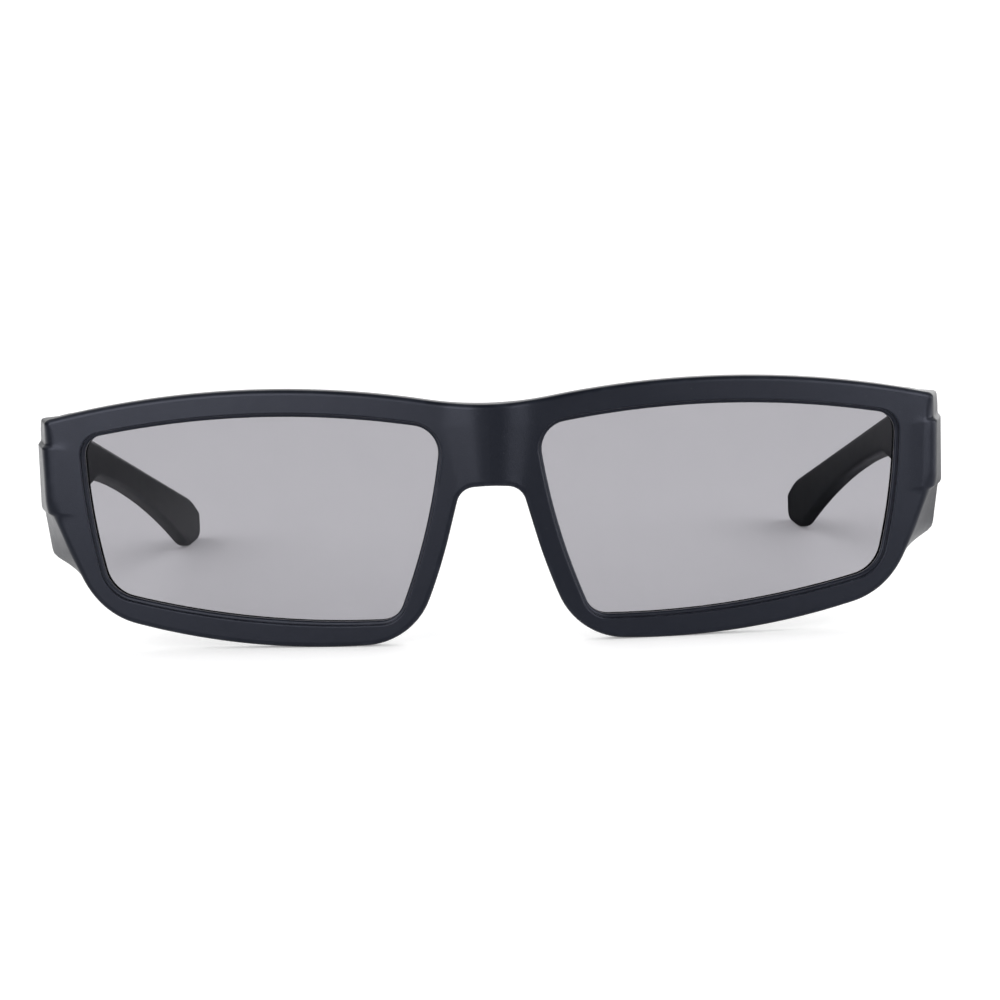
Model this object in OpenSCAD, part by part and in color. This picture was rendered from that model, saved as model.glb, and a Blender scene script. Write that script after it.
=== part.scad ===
// Moulded glasses with flat polarised lenses and folding temples, standing open on a table.
// Millimetres. +Z is up, the front faces -Y and +X is the wearer's left.
// The origin is on the floor, under the middle of the open glasses.

/* [Overall] */
// Distance from the front of the bridge to the back of the temple tips
reach = 150; // [140:1:165]

/* [Front outline] */
// Half width of the front across its upper corners
corner_x = 73; // [68:0.5:78]
// Height of the upper corners above the floor
corner_z = 38.3; // [36:0.1:41]
// Radius of the upper corners
corner_r = 1.2; // [0.5:0.1:2.5]
// How far the brow bows up between the middle and an upper corner
brow_bow = 6.9; // [4:0.1:9]
// Place of the brow's peak along that stretch, from the corner
brow_peak = 0.44; // [0.35:0.01:0.6]
// Height at which the two halves of the brow meet over the bridge, before rounding
dip_z = 38.6; // [36:0.1:41]
// Radius of the dip over the bridge
dip_r = 61; // [20:1:80]
// Height of the bend in the side
bend_z = 23.9; // [20:0.1:28]
// How far the side leans in from the upper corner to the bend
bend_in = 0.4; // [0:0.1:1.5]
// Radius of the bend in the side
bend_r = 8; // [2:0.5:15]
// Distance of the lower outer corner in from the upper corner
cheek_in = 7.8; // [6:0.1:10]
// Height of the lower outer corner, before rounding
cheek_z = 5.9; // [4:0.1:8]
// Radius of the lower outer corner
cheek_r = 13; // [6:0.5:16]
// Distance of the lower inner corner from the middle
foot_x = 13.5; // [12:0.1:16]
// Height of the lower inner corner, before rounding
foot_z = 0.5; // [0:0.1:2]
// Radius of the lower inner corner
foot_r = 12; // [6:0.5:14]
// How far the lower edge bows down between its corners
foot_bow = 4; // [2:0.1:5]
// Half width of the nose gap at its top
nose_x = 5; // [4:0.1:6]
// Height of the nose gap's upper corners
nose_z = 25.7; // [24:0.1:29]
// Radius of the nose gap's upper corners
nose_r = 3.2; // [1:0.1:4]
// How far the top of the nose gap arches up between those corners, before rounding
nose_arch = 0.5; // [0.2:0.1:1.5]
// How far each rim bows towards the nose
nose_bow = 0.8; // [0.3:0.1:1.5]

/* [Front section] */
// Angle by which each rim sweeps back from the bridge
wrap = 6; // [3:0.5:9]
// Thickness of the rims
rim_t = 3.2; // [2.8:0.1:4.5]
// Half width of the bulge of the bridge
bridge_x = 6.7; // [5.5:0.1:7.5]
// How far the bridge bulges forward of the rims
bridge_rise = 1.1; // [0.5:0.1:2]
// Thickness of the bridge at its middle
bridge_t = 4.2; // [3:0.1:6]

/* [Lens opening] */
// Rim left between the bulge of the bridge and the opening's upper inner corner
rim_bridge = 1.25; // [0.8:0.05:2.5]
// Rim left above the opening's upper corners
rim_brow = 3.2; // [2.6:0.1:4.5]
// Rim left outside the opening's upper outer corner
rim_side = 6.2; // [5.8:0.1:8]
// Offset of the opening's lower outer corner in from the front's
rim_cheek = 1.9; // [1.5:0.1:4]
// Rim left below the opening's lower corners
rim_sill = 3.7; // [3:0.1:5]
// Offset of the opening's lower inner corner out from the front's
rim_foot = 2.6; // [2:0.1:4]
// Radius of the opening's upper inner corner
opening_inner_r = 4.5; // [2:0.1:6]
// Radius of the opening's upper outer corner
opening_outer_r = 3.2; // [2:0.1:6]
// Radius of the opening's lower outer corner
opening_cheek_r = 6; // [3:0.1:9]
// Radius of the opening's lower inner corner
opening_foot_r = 4; // [2:0.1:6]
// How far the opening bows up at the brow
opening_brow_bow = 4.7; // [3:0.1:6]
// How far the opening bows out at the side
opening_side_bow = 1.2; // [0.4:0.1:2]
// How far the opening bows down at the sill
opening_sill_bow = 3.2; // [2:0.1:4]
// How far the opening bows in towards the nose
opening_nose_bow = 1.8; // [0.8:0.1:2.5]
// Depth of the step round the front of the opening
step_depth = 0.8; // [0.4:0.1:1]
// Width of the step round the front of the opening
step_w = 0.6; // [0.3:0.1:0.9]
// Thickness of the lip that the lens lies against
lip_t = 0.7; // [0.5:0.1:0.9]
// Width of the lip, which is the depth of the rebate behind it
lip_w = 1.2; // [0.9:0.1:1.5]

/* [Lens layers] */
// Thickness of the retarder film
retarder_t = 0.15; // [0.1:0.01:0.2]
// Thickness of the polariser film
polariser_t = 0.12; // [0.08:0.01:0.2]
// Thickness of the support sheet
support_t = 0.5; // [0.3:0.05:0.6]
// Width of the retainer ring
retainer_w = 0.9; // [0.6:0.05:1.1]

/* [End pieces] */
// Depth of an end piece behind the front's upper corner
wing_depth = 9.2; // [8:0.1:12]
// How far an end piece flares out towards the back
wing_flare = 2; // [0.5:0.1:2.5]
// Thickness of an end piece across the glasses
wing_wall = 4.1; // [3.8:0.1:4.6]
// Drop from the front's upper corner to the top of an end piece
wing_drop = 0.4; // [0.2:0.1:1]
// Height of an end piece's lower back corner
heel_z = 14.8; // [14:0.1:20]
// How far that corner is chamfered in from the side
heel_in = 1.1; // [0.5:0.1:2]
// Height at which the cheek under an end piece runs out on the rim
toe_z = 7.5; // [7:0.1:11]
// Width of the cheek where it runs out
toe_w = 1.5; // [1:0.1:2]
// Height of the lower edge of the raised band
band_low = 22.6; // [20:0.1:24]
// Height of the upper edge of the raised band
band_high = 34; // [31:0.1:36]
// How far the band stands proud
band_proud = 0.5; // [0.2:0.05:0.8]
// How far the band runs in over the front face
band_run = 2.8; // [2:0.1:5.5]
// How far the band stands out sideways at the front corner
band_out = 0.25; // [0.1:0.05:0.4]

/* [Hinges] */
// Height of the middle of a hinge
hinge_z = 30; // [29:0.1:31]
// Distance of a hinge's axis behind its end piece
hinge_back = 1.5; // [1.2:0.1:1.9]
// Diameter of a hinge pin
pin_d = 1.4; // [1:0.1:2]
// Outer radius of the hinge lugs and of the knuckle between them
knuckle_r = 2.2; // [1.9:0.1:2.4]
// Thickness of each of the two lugs
lug_t = 2.2; // [1.6:0.1:2.4]
// Height of the knuckle
knuckle_h = 3.6; // [3:0.1:4]
// Half width of the root by which a lug grows out of its end piece
lug_root_x = 1.9; // [1.5:0.1:2]
// Length of that root in front of the hinge's axis
lug_root_len = 5.5; // [4:0.1:6]

/* [Temples] */
// How far a temple's inner face leans in from the hinge to the tip
temple_lean = 7.9; // [4:0.1:10]
// Thickness of a temple at the hinge
head_t = 5.5; // [5:0.1:6]
// Thickness of a temple at the tip
tip_t = 2.5; // [2.2:0.1:3.6]
// Thickness of a temple at the end of the taper of its outer face
waist_t = 3; // [2.6:0.1:4]
// Length of the taper of a temple's outer face
waist_len = 38; // [25:1:50]
// Radius of the bend at the end of that taper
waist_r = 250; // [100:10:300]
// Height of the top of a temple at the hinge
head_top = 36.4; // [35.5:0.1:37.2]
// Height of the underside of a temple at the hinge
head_low = 24.5; // [23.5:0.1:25.5]
// Length of the deep head of a temple
head_len = 11.5; // [8:0.5:14]
// Radius of the underside at the end of the head
head_r = 10; // [5:1:15]
// Length of the chamfer behind the head
neck_len = 11; // [6:0.5:12]
// Rise of the underside over that chamfer
neck_rise = 0.9; // [0.5:0.1:2]
// Radius that rounds the underside behind the chamfer
neck_r = 20; // [5:1:30]
// How far the underside bows up between the neck and the tip, before rounding
under_bow = 3.5; // [2:0.1:4]
// Height of the upper edge where its steeper end starts, before rounding
tip_shoulder = 9.4; // [8.8:0.1:10]
// Length of that steeper end
tip_slope_len = 10; // [8:0.5:14]
// Radius where the upper edge turns down to it
tip_shoulder_r = 60; // [20:5:80]
// Height of the upper edge at the back of the tip, before rounding
tip_top = 5.6; // [5.5:0.1:6.5]
// Length of the flat under the tip, before rounding
tip_flat = 15.5; // [14:0.5:22]
// Radius where the underside runs into that flat
tip_heel_r = 30; // [10:1:40]
// Radius of the lower corner of the tip
tip_low_r = 3.3; // [2:0.1:3.4]
// Radius of the upper corner of the tip
tip_top_r = 2.9; // [1:0.1:3.1]

/* [Fits] */
// Radial clearance of the pin in the lugs, a light press
pin_seat_fit = 0.01; // [0.01:0.005:0.03]
// Radial clearance of the pin in the knuckle
pin_run_fit = 0.05; // [0.02:0.01:0.1]
// Gap above and below the knuckle
knuckle_gap = 0.15; // [0.1:0.05:0.3]
// Gap between a temple's front end and its end piece
butt_gap = 0.2; // [0.1:0.05:0.4]
// Radial gap round the lugs and the knuckle while a temple swings
swing_gap = 0.35; // [0.3:0.05:0.5]
// Gap round the edge of a lens
lens_fit = 0.1; // [0.05:0.01:0.2]
// Gap round a retainer ring
retainer_fit = 0.05; // [0.02:0.01:0.1]

/* [Hidden] */

$fn = 64;
frame_colour = "#2c303a";
temple_colour = "#24272f";
retarder_colour = [0.72, 0.72, 0.75, 0.6];
polariser_colour = [0.45, 0.45, 0.48, 0.6];
support_colour = [0.8, 0.8, 0.83, 0.6];
pin_colour = "silver";

// Largest distance between an arc and the short lines that stand for it
arc_tol = 0.02;
// Radius that marks a corner whose arc takes nearly all the room between its neighbours
fit_arc = -1;
arc_share = 0.97;
// Overrun of a cutting tool past the face that it cuts
over = 1;
// Size of a tool that cuts right through
through = 100;
// Depth to which the band is rooted in its end piece
band_root = 1.6;
// Radius of the corners at the front end of a temple
end_r = 0.1;
// Thickness of the slices that a blended block is stretched between
thin = 0.01;

// Corner lists hold [x, z, radius], anticlockwise as the outline is seen from the front
function unit(v) = v / norm(v);
function place(p) = [p[0], p[1]];
function at(list, i) = list[(i + len(list)) % len(list)];
function turn(a, b, c) =
    let (u = unit(place(b) - place(a)), v = unit(place(c) - place(b)))
    atan2(u[0] * v[1] - u[1] * v[0], u * v);
function tangent(a, b, c, r) = r * tan(abs(turn(a, b, c)) / 2);
function set_tangent(list, i) =
    tangent(at(list, i - 1), at(list, i), at(list, i + 1), max(at(list, i)[2], 0));

// A corner that bows the side from a to b outwards
function bow(a, b, depth, share = 0.5) =
    let (d = place(b) - place(a))
    concat(place(a) + share * d + depth * unit([d[1], -d[0]]), [fit_arc]);

function arc_room(list, i) =
    min(norm(place(list[i]) - place(at(list, i - 1))) - set_tangent(list, i - 1),
        norm(place(at(list, i + 1)) - place(list[i])) - set_tangent(list, i + 1));
function arc_r(list, i) =
    list[i][2] >= 0 ? list[i][2]
    : arc_share * arc_room(list, i) / tan(abs(turn(at(list, i - 1), list[i], at(list, i + 1))) / 2);
function with_radii(list) = [for (i = [0 : len(list) - 1]) concat(place(list[i]), [arc_r(list, i)])];

// A convex corner list grown by d all round
function grown(list, d) =
    [for (i = [0 : len(list) - 1])
        let (u = unit(place(list[i]) - place(at(list, i - 1))),
             v = unit(place(at(list, i + 1)) - place(list[i])),
             m = [u[1], -u[0]],
             n = [v[1], -v[0]])
        concat(place(list[i]) + d * (m + n) / (1 + m * n), [list[i][2] + d])];

function spun(p, angle) = [p[0] * cos(angle) - p[1] * sin(angle), p[0] * sin(angle) + p[1] * cos(angle)];
function corner_points(a, b, c) =
    let (angle = turn(a, b, c),
         u = unit(place(b) - place(a)),
         start = place(b) - tangent(a, b, c, b[2]) * u,
         centre = start + sign(angle) * b[2] * [-u[1], u[0]],
         steps = ceil(abs(angle) / (2 * acos(1 - arc_tol / b[2]))))
    [for (k = [0 : steps]) centre + spun(start - centre, angle * k / steps)];
function rounded(list) =
    [for (i = [0 : len(list) - 1]) each corner_points(at(list, i - 1), list[i], at(list, i + 1))];

function lifted(list, z) = [for (p = list) [p[0], p[1] + z, p[2]]];
function mirrored(list) = [for (i = [len(list) - 1 : -1 : 0]) [-list[i][0], list[i][1], list[i][2]]];

// Outline of the front, seen from the front
corner = [corner_x, corner_z, corner_r];
bend = [corner_x - bend_in, bend_z, bend_r];
cheek = [corner_x - cheek_in, cheek_z, cheek_r];
foot = [foot_x, foot_z, foot_r];
nose = [nose_x, nose_z, nose_r];
nose_top = bow([-nose_x, nose_z], [nose_x, nose_z], -nose_arch);
dip = [0, dip_z, dip_r];
half_outline = [nose, bow(nose, foot, nose_bow), foot, bow(foot, cheek, foot_bow), cheek, bend, corner,
                bow(corner, dip, brow_bow, brow_peak)];
loose_outline = with_radii(concat([nose_top], half_outline, [dip], mirrored(half_outline)));
// The rims stand on the floor
settle = -min([for (p = rounded(loose_outline)) p[1]]);
front_outline = rounded(lifted(loose_outline, settle));

// Outline of a lens opening, in the plane of its rim
bridge_r = (bridge_x * bridge_x + bridge_rise * bridge_rise) / (2 * bridge_rise);
function along(x) = x / cos(wrap);
opening_inner = [along(bridge_x + rim_bridge), dip_z - rim_brow, opening_inner_r];
opening_outer = [along(corner_x - rim_side), corner_z - rim_brow, opening_outer_r];
opening_cheek = [along(corner_x - cheek_in - rim_cheek), cheek_z + rim_sill, opening_cheek_r];
opening_foot = [along(foot_x + rim_foot), foot_z + rim_sill, opening_foot_r];
opening = lifted(with_radii([opening_foot, bow(opening_foot, opening_cheek, opening_sill_bow),
                             opening_cheek, bow(opening_cheek, opening_outer, opening_side_bow),
                             opening_outer, bow(opening_outer, opening_inner, opening_brow_bow),
                             opening_inner, bow(opening_inner, opening_foot, opening_nose_bow)]), settle);

// Depths behind the front face of a rim
lens_seat = step_depth + lip_t;
polariser_seat = lens_seat + retarder_t;
support_seat = polariser_seat + polariser_t;
retainer_seat = support_seat + support_t;

// Depths behind the front of the bridge
face_y = bridge_rise - bridge_x * tan(wrap);
function face_at(x) = face_y + x * tan(wrap);
wing_front = face_at(corner_x);
wing_back = wing_front + wing_depth;
temple_front = wing_back + butt_gap;

// Plan of an end piece
wing_x = corner_x + wing_flare;
wing_inner_x = wing_x - wing_wall;
wing_top = corner_z + settle - wing_drop;
wing_root_x = corner_x - wing_wall;
function wing_plan(x) = [[x, face_at(x)], [wing_x, wing_back], [wing_inner_x, wing_back],
                         [wing_root_x, face_at(wing_root_x)]];
// The toe of the cheek is on the rounded lower outer corner of the rim
toe_x = max([for (p = front_outline) p[1] < toe_z ? p[0] : 0]);

// Hinge
hinge_x = wing_inner_x;
hinge_y = wing_back + hinge_back;
hinge_h = 2 * lug_t + knuckle_h + 2 * knuckle_gap;
hinge_low = hinge_z - hinge_h / 2;
slot_low = hinge_low + lug_t;
slot_h = knuckle_h + 2 * knuckle_gap;

// Side view of a temple: depth behind the front of the bridge, height
head_end = [temple_front + head_len, head_low, head_r];
neck_end = [temple_front + head_len + neck_len, head_low + neck_rise, neck_r];
tip_heel = [reach - tip_flat, 0, tip_heel_r];
temple_outline = rounded(with_radii([[temple_front, head_low, end_r], head_end, neck_end,
                                     bow(neck_end, tip_heel, -under_bow), tip_heel,
                                     [reach, 0, tip_low_r], [reach, tip_top, tip_top_r],
                                     [reach - tip_slope_len, tip_shoulder, tip_shoulder_r],
                                     [temple_front, head_top, end_r]]));

// Plan of a temple, open
head_inner = [wing_x - head_t, temple_front];
tip_inner = [wing_x - head_t - temple_lean, reach + over];
waist_y = temple_front + waist_len;
waist_inner_x = lookup(waist_y, [[head_inner[1], head_inner[0]], [tip_inner[1], tip_inner[0]]]);
temple_plan = rounded([concat(head_inner, [end_r]), [wing_x, temple_front, end_r],
                       [waist_inner_x + waist_t, waist_y, waist_r],
                       concat(tip_inner + [tip_t, 0], [end_r]), concat(tip_inner, [end_r])]);

// Puts the front of the bridge at its place in front of the origin
module in_frame() translate([0, -reach / 2, 0]) children();

module both_sides() {
    children();
    mirror([1, 0, 0]) children();
}

// The frame of the left rim: x along it from the middle plane, y into its thickness
module on_rim() translate([0, face_y, 0]) rotate([0, 0, wrap]) children();

// A plate with an outline seen from the front, from one depth to another
module plate(points, from, to) {
    translate([0, to, 0]) rotate([90, 0, 0]) linear_extrude(to - from) polygon(points);
}

// A plate with an outline of depth and height, from one distance across to another
module side_plate(points, from, to) {
    translate([from, 0, 0]) rotate([90, 0, 90]) linear_extrude(to - from) polygon(points);
}

module rim_and_bridge() {
    intersection() {
        plate(front_outline, -over, wing_back);
        union() {
            intersection() {
                translate([0, bridge_r, 0]) cylinder(r = bridge_r, h = through);
                translate([-bridge_x, 0, 0]) cube([2 * bridge_x, bridge_t, through]);
            }
            both_sides() on_rim() cube([along(corner_x) + over, rim_t, through]);
        }
    }
}

// The cheek under the band, which runs down and forward from the heel to the toe on the rim
module cheek_block() {
    hull() {
        translate([0, 0, bend_z - thin]) linear_extrude(thin) polygon(wing_plan(bend[0]));
        translate([wing_inner_x, wing_back - thin, heel_z]) cube([wing_wall - heel_in, thin, thin]);
        translate([toe_x - toe_w, face_at(toe_x), toe_z]) cube([toe_w, rim_t, thin]);
    }
}

module raised_band() {
    translate([0, 0, band_low])
        linear_extrude(band_high - band_low)
            polygon([[corner_x - band_run, face_at(corner_x - band_run)],
                     [corner_x + band_out, wing_front - band_proud],
                     [wing_x + band_proud, wing_back],
                     [wing_x - band_root, wing_back],
                     [corner_x - band_root, wing_front + band_root]]);
}

module end_piece() {
    translate([0, 0, bend_z - thin]) linear_extrude(wing_top - bend_z + thin) polygon(wing_plan(corner_x));
    cheek_block();
    raised_band();
}

module lens_opening() {
    on_rim() {
        plate(rounded(grown(opening, step_w)), -over, step_depth);
        plate(rounded(opening), -over, rim_t);
        plate(rounded(grown(opening, lip_w)), lens_seat, rim_t + over);
    }
}

module hinge_axis(low) translate([hinge_x, hinge_y, low]) children();

module hinge_lug(low) {
    hinge_axis(low) {
        cylinder(r = knuckle_r, h = lug_t);
        translate([-lug_root_x, -lug_root_len, 0]) cube([2 * lug_root_x, lug_root_len, lug_t]);
    }
}

module hinge_fixed_half() {
    hinge_lug(hinge_low);
    hinge_lug(slot_low + slot_h);
}

module hinge_fixed_cuts() {
    hinge_axis(slot_low) cylinder(r = knuckle_r + swing_gap, h = slot_h);
    hinge_axis(hinge_low - over) cylinder(d = pin_d + 2 * pin_seat_fit, h = hinge_h + 2 * over);
}

module front_frame() {
    color(frame_colour)
        in_frame()
            difference() {
                union() {
                    rim_and_bridge();
                    both_sides() {
                        end_piece();
                        hinge_fixed_half();
                    }
                }
                both_sides() {
                    lens_opening();
                    hinge_fixed_cuts();
                }
            }
}

module lens_layer(from, to) in_frame() on_rim() plate(rounded(grown(opening, lip_w - lens_fit)), from, to);

module retarder_film() color(retarder_colour) lens_layer(lens_seat, polariser_seat);
module polariser_film() color(polariser_colour) lens_layer(polariser_seat, support_seat);
module support_sheet() color(support_colour) lens_layer(support_seat, retainer_seat);

module lens_retainer() {
    color(frame_colour)
        in_frame()
            on_rim()
                difference() {
                    plate(rounded(grown(opening, lip_w - retainer_fit)), retainer_seat, rim_t);
                    plate(rounded(grown(opening, lip_w - retainer_fit - retainer_w)), 0, rim_t + over);
                }
}

// Room that the fixed lugs need in the head of a temple, above and below the knuckle
module lug_room(low, h) {
    hinge_axis(low) {
        cylinder(r = knuckle_r + swing_gap, h = h);
        translate([-through, -through, 0]) cube([through + knuckle_r + swing_gap, through, h]);
    }
}

module temple() {
    color(temple_colour)
        in_frame()
            difference() {
                union() {
                    difference() {
                        intersection() {
                            side_plate(temple_outline, 0, through);
                            linear_extrude(through) polygon(temple_plan);
                        }
                        lug_room(0, slot_low + knuckle_gap);
                        lug_room(slot_low + slot_h - knuckle_gap, through);
                    }
                    hinge_axis(slot_low + knuckle_gap) cylinder(r = knuckle_r, h = knuckle_h);
                }
                hinge_axis(0) cylinder(d = pin_d + 2 * pin_run_fit, h = through);
            }
}

module hinge_pin() color(pin_colour) in_frame() hinge_axis(hinge_low) cylinder(d = pin_d, h = hinge_h);

module left_retarder_film() retarder_film();
module right_retarder_film() mirror([1, 0, 0]) retarder_film();
module left_polariser_film() polariser_film();
module right_polariser_film() mirror([1, 0, 0]) polariser_film();
module left_support_sheet() support_sheet();
module right_support_sheet() mirror([1, 0, 0]) support_sheet();
module left_lens_retainer() lens_retainer();
module right_lens_retainer() mirror([1, 0, 0]) lens_retainer();
module left_temple() temple();
module right_temple() mirror([1, 0, 0]) temple();
module left_hinge_pin() hinge_pin();
module right_hinge_pin() mirror([1, 0, 0]) hinge_pin();

front_frame();
right_retarder_film();
left_retarder_film();
right_polariser_film();
left_polariser_film();
right_support_sheet();
left_support_sheet();
right_lens_retainer();
left_lens_retainer();
right_temple();
left_temple();
right_hinge_pin();
left_hinge_pin();
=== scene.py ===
import math

import bmesh
import bpy
import numpy as np
from mathutils import Matrix, Vector


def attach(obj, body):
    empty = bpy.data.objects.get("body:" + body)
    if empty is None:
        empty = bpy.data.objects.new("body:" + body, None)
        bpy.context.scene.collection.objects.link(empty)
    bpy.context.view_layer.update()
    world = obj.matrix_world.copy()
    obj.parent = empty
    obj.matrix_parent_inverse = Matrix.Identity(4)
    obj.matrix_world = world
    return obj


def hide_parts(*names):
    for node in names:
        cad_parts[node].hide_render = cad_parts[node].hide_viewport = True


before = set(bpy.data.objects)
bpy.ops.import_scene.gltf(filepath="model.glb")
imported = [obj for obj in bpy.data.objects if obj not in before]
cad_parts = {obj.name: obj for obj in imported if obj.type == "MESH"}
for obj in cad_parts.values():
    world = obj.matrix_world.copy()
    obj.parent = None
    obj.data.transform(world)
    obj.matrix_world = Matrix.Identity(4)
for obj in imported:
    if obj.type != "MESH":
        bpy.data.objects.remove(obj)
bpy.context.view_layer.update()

# Lengths of the glasses are in millimetres, and their left and right are the wearer's.
# A place is (across towards the left, depth behind the front of the bridge, height).
# mesh() turns places into metres in the frame, where the front of the bridge is REACH / 2 before the origin.
REACH = 150.0
MM = 0.001

# Outline of the front: its corners, their radii, and how far the sides between them bow out
CORNER_X, CORNER_Z, CORNER_R = 73.0, 38.3, 1.2
BROW_BOW, BROW_PEAK = 6.9, 0.44
DIP_Z, DIP_R = 38.6, 61.0
BEND_Z, BEND_IN, BEND_R = 23.9, 0.4, 8.0
CHEEK_IN, CHEEK_Z, CHEEK_R = 7.8, 5.9, 13.0
FOOT_X, FOOT_Z, FOOT_R, FOOT_BOW = 13.5, 0.5, 12.0, 4.0
NOSE_X, NOSE_Z, NOSE_R, NOSE_BOW, NOSE_ARCH = 5.0, 25.7, 3.2, 0.8, 0.5

# Rims that sweep back from a bridge with a bulge, which narrows downwards
WRAP = math.radians(6.0)
RIM_T = 3.2
BRIDGE_X, BRIDGE_RISE, BRIDGE_T = 6.7, 1.1, 4.2
BULGE_CROWN, BULGE_SOFT = 2.4, 1.3
BULGE_Z, BULGE_TAPER, BULGE_FALL = 36.0, 0.017, 12.0
FACE_Y = BRIDGE_RISE - BRIDGE_X * math.tan(WRAP)
CREASE = 0.16

# Lens openings: the width of the rim round them, their corners and bows, and the steps that hold the lens
RIM_BRIDGE, RIM_BROW, RIM_SIDE = 1.25, 3.2, 6.2
RIM_CHEEK, RIM_SILL, RIM_FOOT = 1.9, 3.7, 2.6
OPENING_INNER_R, OPENING_OUTER_R, OPENING_CHEEK_R, OPENING_FOOT_R = 4.5, 3.2, 6.0, 4.0
OPENING_BROW_BOW, OPENING_SIDE_BOW, OPENING_SILL_BOW, OPENING_NOSE_BOW = 4.7, 1.2, 3.2, 1.8
STEP_DEPTH, STEP_W, LIP_W = 0.8, 0.6, 1.2
LENS_SEAT, RETAINER_SEAT = 1.5, 2.27

# End pieces behind the outer ends of the front, and the raised band round them
WING_LEN = 9.2
WING_FRONT = FACE_Y + CORNER_X * math.tan(WRAP)
WING_BACK = WING_FRONT + WING_LEN
WING_X, WING_INNER_X, WING_TOP = 75.0, 70.9, 38.2
HEEL_X, HEEL_Z = 73.9, 14.8
WING_BLEND, WING_SOFT = 0.6, 0.35
BAND_LOW, BAND_HIGH, BAND_SOFT = 22.6, 34.0, 0.4
BAND_FORWARD, BAND_RUN, BAND_FADE = 0.15, 5.0, 6.0
BAND_OUT, BAND_PROUD, BAND_FROM, BAND_TO = 0.6, 0.5, 1.6, 0.4

# Rounding of the front's edges, from the lens over the face and the flank to the back
STEP_WALL_R, STEP_LEDGE_R, STEP_FACE_R = 0.42, 0.12, 0.25
RIM_FRONT_R, SIDE_EXTRA_R, REAR_R = 0.85, 0.75, 0.6
SIDE_X, SIDE_Z, SIDE_BLEND = (71.0, 72.4), (36.4, 37.6), 0.8
SQUARE_X = 2.4
WING_INNER_R, WING_FOOT_R, REBATE_R, REBATE_FOOT_R = 0.55, 1.4, 0.15, 0.12

# Hinges: two lugs on each end piece, a knuckle on each temple between them, and a pin
HINGE_X, HINGE_BEHIND = WING_INNER_X, 1.5
HINGE_Y = WING_BACK + HINGE_BEHIND
LUG_LOW, SLOT_LOW, SLOT_HIGH, LUG_HIGH = 25.85, 28.05, 31.95, 34.15
KNUCKLE_R, SWING_GAP, KNUCKLE_GAP = 2.2, 0.35, 0.15
KNUCKLE_END = HINGE_Y + KNUCKLE_R
POCKET_OVER, POCKET_SOFT = 0.6, 0.12
LUG_BORE_R, KNUCKLE_BORE_R, PIN_R = 0.71, 0.75, 0.7
LUG_ROOT, LUG_ROOT_HALF = 5.5, 1.9
KNUCKLE_ROOT, KNUCKLE_ROOT_IN, KNUCKLE_ROOT_OUT = 5.2, 1.2, 2.7
BLOCK_EDGE_R, BORE_EDGE_R = 0.25, 0.08

# Temples: their outline in side view, their thickness from above, and their rounded edges
TEMPLE_GAP, TEMPLE_FRONT_R = 0.2, 0.1
TEMPLE_FRONT = WING_BACK + TEMPLE_GAP
HEAD_TOP, HEAD_LOW, HEAD_LEN, HEAD_R = 36.4, 24.5, 11.5, 10.0
NECK_LEN, NECK_RISE, NECK_R, UNDER_BOW = 11.0, 0.9, 20.0, 3.5
TIP_TOP, TIP_FLAT, TIP_HEEL_R, TIP_LOW_R, TIP_TOP_R = 5.6, 15.5, 30.0, 3.3, 2.9
TIP_SHOULDER, TIP_SLOPE_LEN, TIP_SHOULDER_R = 9.4, 10.0, 60.0
HEAD_INNER_X, TEMPLE_LEAN, TAPER_PAST_TIP = 69.5, 7.9, 1.0
HEAD_T, WAIST_T, TIP_T, WAIST_LEN, WAIST_SOFT = 5.5, 3.0, 2.5, 38.0, 3.0
COVER_FROM, COVER_TO = 0.1, 0.55
FRONT_EDGE_R, TEMPLE_EDGE_R, EDGE_SHARE, LEAST_HALF = 0.3, 0.95, 0.47, 0.2
TIP_START, TIP_EDGE_LEN, TIP_EDGE_IN = 140.0, 1.1, 0.95

# Lenses and their retainers, measured from the lens opening
LENS_OVERLAP, LENS_EDGE, LENS_SLACK = 1.1, 0.06, 0.015
RING_IN, RING_OUT, RING_SLACK = 0.04, 1.14, 0.02
RING_FRONT_R, RING_OUTER_R, RING_INNER_R = 0.06, 0.16, 0.2

# The end of a pin: distances from its axis and from its end
PIN_END = ((0.0, 0.0), (0.3, 0.015), (0.52, 0.05), (0.62, 0.12), (0.68, 0.22), (PIN_R, 0.34))

# A corner with the radius FIT takes this share of its room
FIT, ARC_SHARE = -1.0, 0.97

# How finely lines and surfaces are divided, and how near two points are one
ARC_POINTS, CORNER_POINTS = 61, 7
SEARCH_POINTS, FILTER_STEPS, FILTER_REACH, RATE_POINTS = 8000, 3000, 120, 6000
COLUMN_STEP, COLUMN_BEND, CROWDED_IN = 0.85, 6.5, 1.5
CROWDED = ((BAND_LOW, 7, 0.55), (BAND_HIGH, 7, 0.55), (SLOT_LOW, 5, 0.25), (SLOT_HIGH, 5, 0.25))
SEAM_COLUMNS, FACE_ROWS, END_ROWS = 26, 15, 12
LENS_COLUMNS, RING_COLUMNS, PIN_COLUMNS = 260, 240, 48
LUG_ARC_POINTS, LUG_SIDE_POINTS, BLOCK_RUN = 33, 9, 3
TINY, MERGE_METRES = 1e-12, 2e-6


def unit(v):
    """Vectors of length one along the last axis."""
    return v / np.maximum(np.linalg.norm(v, axis=-1, keepdims=True), TINY)


def ease(low, high, x):
    """A smooth step from 0 at low to 1 at high: 3f^2 - 2f^3."""
    f = np.clip((x - low) / (high - low), 0, 1)
    return f * f * (3 - 2 * f)


def between(low, high, soft, x):
    """1 from low to high and 0 beyond, joined by smooth steps that reach soft to either side."""
    return ease(low - soft, low + soft, x) * (1 - ease(high - soft, high + soft, x))


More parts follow.
